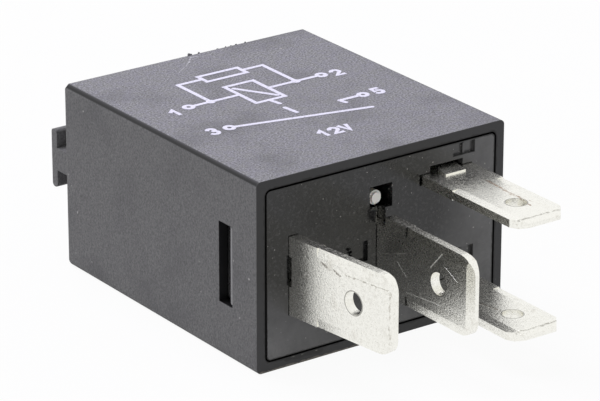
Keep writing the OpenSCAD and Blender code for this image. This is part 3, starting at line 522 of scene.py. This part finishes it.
# %% [markdown]
# ## Enamelled copper
# Winding wire is copper under a clear amber lacquer: a metal with a coat. The lacquer's thickness
# varies, so the tone drifts from turn to turn.

# %% Wire enamel
def wire_enamel():
    """Copper that drifts between two tones, under a glossy amber coat."""
    material, tree, shader, place = start_finish(
        "enamelled_copper", 0.25, 1.0, **{"Coat Weight": 0.7, "Coat Roughness": 0.12,
                                          "Coat Tint": linear("e8b27a")})
    bands = add(tree, "ShaderNodeMapping", {"Vector": place, "Scale": (0.3, 1, 0.3)}).outputs[0]
    tone = noise(tree, bands, 0.5, 2.0)
    tree.links.new(paint(tree, "d98b4e", "a85a2a", tone), shader.inputs["Base Color"])
    return material


finishes["enamelled_copper"] = wire_enamel()
for name in ("coil_lead_1", "coil_lead_2"):
    dress(nodes[name], finishes["enamelled_copper"])
print("finish of the coil:", finishes["enamelled_copper"].name)

# %% [markdown]
# ## Lacquered resistor
# A metal-film resistor has a pale blue lacquer and painted rings that tell its value: blue, grey,
# black, black, brown is 680 ohms, usual across such a coil. The rings lie across the body, so they
# follow its length: a colour ramp with hard steps, read along Z, paints them all at once.

# %% Resistor lacquer
lacquer = "8fb3cc"
# Where along the body a colour starts, as a share of its length
ring_steps = [(0.1, "27408f"), (0.18, lacquer), (0.3, "7d7f83"), (0.37, lacquer),
              (0.46, "141414"), (0.53, lacquer), (0.62, "141414"), (0.69, lacquer),
              (0.83, "6a3d20"), (0.91, lacquer)]


def resistor_lacquer(low, high):
    """Pale blue with rings across, on a body between these two corners."""
    material, tree, shader, place = start_finish("banded_blue_lacquer", 0.3,
                                                 **{"Coat Weight": 0.3, "Coat Roughness": 0.1})
    axes = add(tree, "ShaderNodeSeparateXYZ", {0: place}).outputs
    rings = add(tree, "ShaderNodeValToRGB", {"Fac": step_up(tree, axes["Z"], low.z, high.z)})
    ramp = rings.color_ramp
    ramp.interpolation = "CONSTANT"
    ramp.elements[0].position, ramp.elements[0].color = 0.0, linear(lacquer)
    ramp.elements[1].position, ramp.elements[1].color = ring_steps[0][0], linear(ring_steps[0][1])
    for position, code in ring_steps[1:]:
        ramp.elements.new(position).color = linear(code)
    tree.links.new(rings.outputs["Color"], shader.inputs["Base Color"])
    emboss(tree, shader, noise(tree, place, 0.7, 2.0), 0.3, 0.03)
    return material


low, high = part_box("resistor")
finishes["resistor_body"] = resistor_lacquer(low, high)
dress(nodes["resistor"], finishes["resistor_body"])
print("rings painted on a body", round((high.z - low.z) / MM, 2), "mm long")

# %% [markdown]
# ## Printing ink
# The symbol is pad-printed in white. Pad ink is thin over a textured face, so it is matt, slightly
# violet where the black shows through, and full of pinholes.

# %% Ink
def pad_ink():
    """Matt white with a fine grain of thin spots."""
    material, tree, shader, place = start_finish("pad_printed_white_ink", 0.65)
    grit = noise(tree, place, 0.16, 3.0, 0.6)
    colour = paint(tree, "dcdbe8", "9c9aa8", step_up(tree, grit, 0.5, 0.8))
    tree.links.new(colour, shader.inputs["Base Color"])
    emboss(tree, shader, grit, 0.4, 0.02)
    return material


finishes["print_ink"] = pad_ink()
dress(nodes["printed_diagram"], finishes["print_ink"])
print("finishes so far:", ", ".join(m.name for m in finishes.values()))

# %% [markdown]
# ## Numbers
# Terminal numbers stand twice on such a relay: printed beside the symbol, and raised in small recesses
# of the base. Both are made about the origin, facing up, and put in place afterwards through their
# mesh, so that their object stays at the origin like every solid.

# %% Make a piece, and put it in place
def new_piece(name, shape):
    """An object from a mesh that is being built."""
    bmesh.ops.recalc_face_normals(shape, faces=shape.faces)
    mesh = bpy.data.meshes.new(name)
    shape.to_mesh(mesh)
    shape.free()
    piece = bpy.data.objects.new(name, mesh)
    bpy.context.scene.collection.objects.link(piece)
    return piece


def place_piece(piece, matrix):
    """Move a piece through its mesh, and let it ride with the housing."""
    piece.data.transform(matrix)
    piece.data.update()
    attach(piece, "housing")
    return piece


# %% [markdown]
# The figures of the print are drawn as a draughtsman draws them, with a pen of one width along a
# centre line. Each line is a list of points in units of the figure's height, with arcs sampled from
# their circles, and a ribbon follows it: two points beside every point of the line, and a mitre at
# each bend.

# %% Ribbon along a line
def arc(x, y, radius, start, end, steps=14):
    """Points on a circle between two angles in degrees."""
    turns = [math.radians(start + (end - start) * i / steps) for i in range(steps + 1)]
    return [(x + radius * math.cos(t), y + radius * math.sin(t)) for t in turns]


def ribbon(shape, line, pen, thickness):
    """Add a closed flat bar of the pen's width along a line, with its back on the plane Z = 0."""
    longer, least_mitre, most_mitre = pen * 0.3, 0.1, 1.8
    points = [Vector(p) for p in line]
    runs = [(b - a).normalized() for a, b in zip(points, points[1:])]
    points[0], points[-1] = points[0] - runs[0] * longer, points[-1] + runs[-1] * longer
    rows = []
    for i, point in enumerate(points):
        before, after = runs[max(i - 1, 0)], runs[min(i, len(runs) - 1)]
        side = Vector((-(before + after).y, (before + after).x)).normalized()
        bend = max(side.dot(Vector((-after.y, after.x))), least_mitre)
        mitre = min(1 / bend, most_mitre) * pen / 2
        rows.append([shape.verts.new((*(point + side * mitre * k), z)) for k, z in
                     ((1, 0), (-1, 0), (-1, thickness), (1, thickness))])
    for low, high in zip(rows, rows[1:]):
        for k in range(4):
            shape.faces.new((low[k], low[(k + 1) % 4], high[(k + 1) % 4], high[k]))
    shape.faces.new(rows[0][::-1])
    shape.faces.new(rows[-1])


figures = {"1": [[(0.04, 0.68), (0.36, 1.0), (0.36, 0.0)]],
           "2": [arc(0.32, 0.69, 0.3, 165, -40) + [(0.03, 0.0), (0.66, 0.0)]],
           "3": [arc(0.31, 0.75, 0.25, 160, -85), arc(0.31, 0.28, 0.29, 80, -155)],
           "5": [[(0.6, 1.0), (0.13, 1.0), (0.08, 0.52)] + arc(0.31, 0.31, 0.3, 110, -150)],
           "V": [[(0.0, 1.0), (0.3, 0.0), (0.6, 1.0)]]}
print("figures that can be drawn:", ", ".join(figures))

# %% [markdown]
# A word sets its figures side by side. Where two strokes of a figure cross, the second is a little
# thinner, so that no two faces lie in one plane. The places are given from the printed symbol: from
# its rings, where the coil's and the contact's lines end, and from its lower edge.

# %% Printed numbers
def printed_piece(words, height, pen, thickness, place):
    """A word of the print: each figure is a ribbon, and the word's middle comes to this place."""
    advance, margin, second_thinner = 0.95, 0.13, 0.3
    shape = bmesh.new()
    for i, letter in enumerate(words):
        left = advance * i - advance / 2 * len(words) + margin
        for k, stroke in enumerate(figures[letter]):
            line = [((x + left) * height, (y - 0.5) * height) for x, y in stroke]
            ribbon(shape, line, pen, thickness * (1 - second_thinner * k))
    piece = new_piece("printed_" + words, shape)
    dress(piece, finishes["print_ink"])
    return place_piece(piece, Matrix.Translation(place))


print_low, print_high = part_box("printed_diagram")
film, ring_radius = print_high.z - print_low.z, 0.525 * MM
left_ring, right_ring = print_low.x + ring_radius, print_high.x - ring_radius
# Where the coil's and the contact's rings stand along the case
coil_row, contact_row = print_high.y - 5.4 * MM, print_low.y + 2.775 * MM
figure_height, pen_width = 1.12 * MM, 0.34 * MM
# The middle of each word: outside its ring, or below the symbol
printed = {"1": (left_ring - 1.46 * MM, coil_row - 0.42 * MM),
           "2": (right_ring + 1.36 * MM, coil_row - 0.22 * MM),
           "3": (left_ring - 1.45 * MM, contact_row + 0.04 * MM),
           "5": (right_ring + 1.46 * MM, contact_row + 0.05 * MM),
           "12V": (-0.4 * MM, print_low.y - 2.3 * MM)}
for words, (x, y) in printed.items():
    printed_piece(words, figure_height, pen_width, film, (x, y, print_low.z))
print("printed:", ", ".join(printed))

# %% [markdown]
# The raised numbers belong to the mould, and are cut there with a plain lettering tool. Blender's own
# font has that look, so they are text, turned into a mesh. They stand on the floor of their recess,
# under the level of the face round it, and are turned upright to face the blades' side.

# %% Raised numbers in the base
def raised_piece(words, height, widening, thickness, matrix):
    """Text of this height as a mesh about its own middle, with its back on the plane Z = 0."""
    name = "raised_" + words
    curve = bpy.data.curves.new(name, "FONT")
    curve.body = words
    curve.size = 1.4 * height
    curve.extrude = thickness / 2
    curve.resolution_u = 6
    text = bpy.data.objects.new(name + "_text", curve)
    bpy.context.scene.collection.objects.link(text)
    depsgraph = bpy.context.evaluated_depsgraph_get()
    mesh = bpy.data.meshes.new_from_object(text.evaluated_get(depsgraph))
    bpy.data.objects.remove(text)
    corners = [v.co for v in mesh.vertices]
    centre = [(min(c[i] for c in corners) + max(c[i] for c in corners)) / 2 for i in (0, 1)]
    tall = max(c.y for c in corners) - min(c.y for c in corners)
    mesh.transform(Matrix.Diagonal((widening * height / tall, height / tall, 1, 1))
                   @ Matrix.Translation((-centre[0], -centre[1], thickness / 2)))
    piece = bpy.data.objects.new(name, mesh)
    bpy.context.scene.collection.objects.link(piece)
    dress(piece, finishes["base_plastic"])
    return place_piece(piece, matrix)


# Floor of the recesses, and the column that the numbers of the coil's blades share
recess_y = base_low.y + 0.3 * MM
upright = Matrix.Rotation(math.radians(90), 4, "X")
coil_blade, (blade_low, blade_high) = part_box("terminal_1")[0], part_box("terminal_3")
column = coil_blade.x + 4.05 * MM
row = half_h - 0.05 * MM
raised = {"1": (column, row + 6.2 * MM), "2": (column, row - 2.35 * MM),
          "3": ((blade_low.x + blade_high.x) / 2, row), "5": (-6.3 * MM, row - 3.6 * MM)}
for words, (x, z) in raised.items():
    raised_piece(words, 0.8 * MM, 1.1, 0.2 * MM, Matrix.Translation((x, recess_y, z)) @ upright)
print("raised:", ", ".join(raised))

# %% [markdown]
# ## Burrs of the mould
# Where the two halves of the cover's mould meet at the closed end, a few crumbs of flash are left on
# the edge. Each is a small lump that a random pull on every point makes irregular. The seed is fixed,
# so they are always the same.

# %% Crumbs of flash
def crumbs(places, chance):
    """One piece with a lump at each place: (x, y, z, size), all in millimetres."""
    shape = bmesh.new()
    for x, y, z, size in places:
        made = bmesh.ops.create_icosphere(shape, subdivisions=2, radius=size / 2 * MM)["verts"]
        stretch = Vector((chance.uniform(0.8, 1.5), chance.uniform(0.6, 1.0),
                          chance.uniform(0.7, 1.2)))
        for vert in made:
            pull = chance.uniform(0.75, 1.2)
            vert.co = Vector(c * s * pull for c, s in zip(vert.co, stretch)) + Vector((x, y, z)) * MM
    return new_piece("edge_crumbs", shape)


# The edge between the top and the closed end, in millimetres
edge_y, edge_z = end_y / MM - 0.38, cover_high.z / MM - 0.05
flash = crumbs([(0.15, edge_y, edge_z + 0.06, 0.3), (0.35, edge_y, edge_z, 0.2),
                (1.1, edge_y, edge_z + 0.02, 0.18), (2.9, edge_y, edge_z, 0.13),
                (3.7, edge_y, edge_z, 0.16), (4.2, edge_y, edge_z, 0.14),
                (4.7, edge_y, edge_z, 0.13), (5.6, edge_y, edge_z, 0.16),
                (11.2, -12.9, 15.05, 0.2)], random.Random(7))
dress(flash, finishes["cover_plastic"])
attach(flash, "housing")
print("crumbs:", len(flash.data.polygons), "faces")

# %% [markdown]
# ## Turns of the coil
# The CAD winding is one smooth ring, while the real one shows its outer layer, turn beside turn. A
# spiral curve follows that rule exactly: Geometry Nodes make the spiral, sweep the wire's round section
# along it, and put a drum under it for the layers below. Real wire here is about 0.08 mm; it is drawn
# at 0.16 mm so that the turns show.

# %% Coil as a rule: spiral, section, drum
def coil_tree():
    """A tree that winds wire of one thickness round a drum of this radius and length."""
    tree = bpy.data.node_groups.new("coil_turns", "GeometryNodeTree")
    face = tree.interface
    for label, kind in (("Radius", "NodeSocketFloat"), ("Length", "NodeSocketFloat"),
                        ("Wire", "NodeSocketFloat"), ("Centre", "NodeSocketVector"),
                        ("Finish", "NodeSocketMaterial")):
        face.new_socket(label, in_out="INPUT", socket_type=kind)
    face.new_socket("Geometry", in_out="OUTPUT", socket_type="NodeSocketGeometry")
    given = add(tree, "NodeGroupInput").outputs
    turns = maths(tree, "DIVIDE", given["Length"], given["Wire"])
    wire_r = maths(tree, "MULTIPLY", given["Wire"], 0.5)
    run_r = maths(tree, "SUBTRACT", given["Radius"], wire_r)
    rise = maths(tree, "SUBTRACT", given["Length"], given["Wire"])
    spiral = add(tree, "GeometryNodeCurveSpiral", {
        "Resolution": 40, "Rotations": turns, "Start Radius": run_r, "End Radius": run_r,
        "Height": rise}).outputs[0]
    section = add(tree, "GeometryNodeCurvePrimitiveCircle", {"Resolution": 6, "Radius": wire_r},
                  mode="RADIUS").outputs[0]
    wire = add(tree, "GeometryNodeCurveToMesh", {"Curve": spiral, "Profile Curve": section,
                                                 "Fill Caps": True}).outputs[0]
    smooth = add(tree, "GeometryNodeSetShadeSmooth", {"Geometry": wire,
                                                      "Shade Smooth": True}).outputs[0]
    lift = add(tree, "ShaderNodeCombineXYZ", {"Z": wire_r}).outputs[0]
    lifted = add(tree, "GeometryNodeTransform", {"Geometry": smooth,
                                                 "Translation": lift}).outputs[0]
    drum = add(tree, "GeometryNodeMeshCylinder", {"Vertices": 64, "Radius": run_r,
                                                  "Depth": given["Length"]}).outputs["Mesh"]
    half = maths(tree, "MULTIPLY", given["Length"], 0.5)
    up = add(tree, "ShaderNodeCombineXYZ", {"Z": half}).outputs[0]
    raised_drum = add(tree, "GeometryNodeTransform", {"Geometry": drum,
                                                      "Translation": up}).outputs[0]
    both = add(tree, "GeometryNodeJoinGeometry", {"Geometry": raised_drum})
    tree.links.new(lifted, both.inputs["Geometry"])
    laid = add(tree, "GeometryNodeTransform", {
        "Geometry": both.outputs[0], "Translation": given["Centre"],
        "Rotation": (math.radians(-90), 0, 0)}).outputs[0]
    real = add(tree, "GeometryNodeRealizeInstances", {"Geometry": laid}).outputs[0]
    painted = add(tree, "GeometryNodeSetMaterial", {"Geometry": real,
                                                    "Material": given["Finish"]}).outputs[0]
    add(tree, "NodeGroupOutput", {"Geometry": painted})
    return tree


def grow(name, tree, values):
    """Run a Geometry Nodes tree with these inputs and keep its result as a plain mesh."""
    seed = bpy.data.objects.new(name, bpy.data.meshes.new(name))
    bpy.context.scene.collection.objects.link(seed)
    maker = seed.modifiers.new("maker", "NODES")
    maker.node_group = tree
    for socket in tree.interface.items_tree:
        if socket.in_out == "INPUT" and socket.name in values:
            maker[socket.identifier] = values[socket.name]
    bpy.context.view_layer.update()
    evaluated = seed.evaluated_get(bpy.context.evaluated_depsgraph_get())
    mesh = bpy.data.meshes.new_from_object(evaluated)
    seed.modifiers.remove(maker)
    seed.data = mesh
    return seed


# %% Wind the coil
low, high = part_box("winding")
middle = (low + high) / 2
wire_width = 0.16 * MM
turns = grow("coil_turns", coil_tree(), {
    "Radius": (high.x - low.x) / 2, "Length": high.y - low.y, "Wire": wire_width,
    "Centre": (middle.x, low.y, middle.z), "Finish": finishes["enamelled_copper"]})
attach(turns, "housing")
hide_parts("winding")
print("coil:", round((high.y - low.y) / wire_width), "turns,", len(turns.data.polygons), "faces")

# %% [markdown]
# ## The contact leaf
# The contact spring is riveted to the yoke at one end and to the armature at the other, so it must bend
# between them. A merged copy of its solid keeps the true shape and takes the place of the solid.

# %% Contact leaf
merge_distance = 0.001 * MM
shape = bmesh.new()
shape.from_mesh(nodes["contact_spring"].data)
bmesh.ops.remove_doubles(shape, verts=shape.verts, dist=merge_distance)
leaf_mesh = bpy.data.meshes.new("contact_leaf")
shape.to_mesh(leaf_mesh)
shape.free()
leaf = bpy.data.objects.new("contact_leaf", leaf_mesh)
bpy.context.scene.collection.objects.link(leaf)
dress(leaf, finishes["spring_bronze"])
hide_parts("contact_spring")
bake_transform(leaf)

# %% [markdown]
# ## Floor, light and surroundings
# A plain white table and an even white surround, as in a light tent: metal shows the tent, and the
# soft lamp from above gives the top more light than the sides. Table and tent look brighter than the
# light they give, so that the part stands on pure white and is not flooded from below.

# %% Floor
def seen_directly(tree):
    """1 for the camera's rays and for what metal and clear plastic show, 0 for those that light."""
    rays = add(tree, "ShaderNodeLightPath").outputs
    shown = maths(tree, "MAXIMUM", rays["Is Camera Ray"], rays["Is Glossy Ray"])
    return maths(tree, "MAXIMUM", shown, rays["Is Transmission Ray"])


table_half = 0.6
corners = [(x * table_half, y * table_half, 0) for x, y in ((-1, -1), (1, -1), (1, 1), (-1, 1))]
floor_mesh = bpy.data.meshes.new("floor")
floor_mesh.from_pydata(corners, [], [(0, 1, 2, 3)])
floor = bpy.data.objects.new("floor", floor_mesh)
bpy.context.scene.collection.objects.link(floor)
table, tree, shader = start_finish("white_table", 0.9)[:3]
shader.inputs["Base Color"].default_value = linear("fbfbfb")
white = add(tree, "ShaderNodeEmission", {"Color": linear("fdfdfd"), "Strength": 1.0}).outputs[0]
share = maths(tree, "MULTIPLY", seen_directly(tree), 0.96)
surface = add(tree, "ShaderNodeMixShader", {0: share, 1: shader.outputs[0], 2: white}).outputs[0]
output = next(n for n in tree.nodes if n.type == "OUTPUT_MATERIAL")
tree.links.new(surface, output.inputs["Surface"])
dress(floor, table)
print("table", table_half * 2, "m wide")

# %% World
world = bpy.data.worlds.new("light_tent")
world.use_nodes = True
world.node_tree.nodes.clear()
tree = world.node_tree
level = step_up(tree, seen_directly(tree), 0, 1, 0.55, 1.0)
sky = add(tree, "ShaderNodeBackground", {"Color": linear("fdfdfd"), "Strength": level})
add(tree, "ShaderNodeOutputWorld", {"Surface": sky.outputs[0]})
bpy.context.scene.world = world
print("world:", world.name)

# %% Lamp
lamp_data = bpy.data.lights.new("top_softbox", "AREA")
lamp_data.color = linear("f2efff")[:3]
lamp_data.shape, lamp_data.size, lamp_data.energy = "DISK", 0.22, 1.22
lamp = bpy.data.objects.new("top_softbox", lamp_data)
lamp.location = (-0.04, 0.13, 0.36)
lamp.rotation_euler = (-lamp.location).to_track_quat("-Z", "Y").to_euler()
bpy.context.scene.collection.objects.link(lamp)
print("lamp", round(lamp.location.length, 2), "m away,", lamp_data.energy, "W")
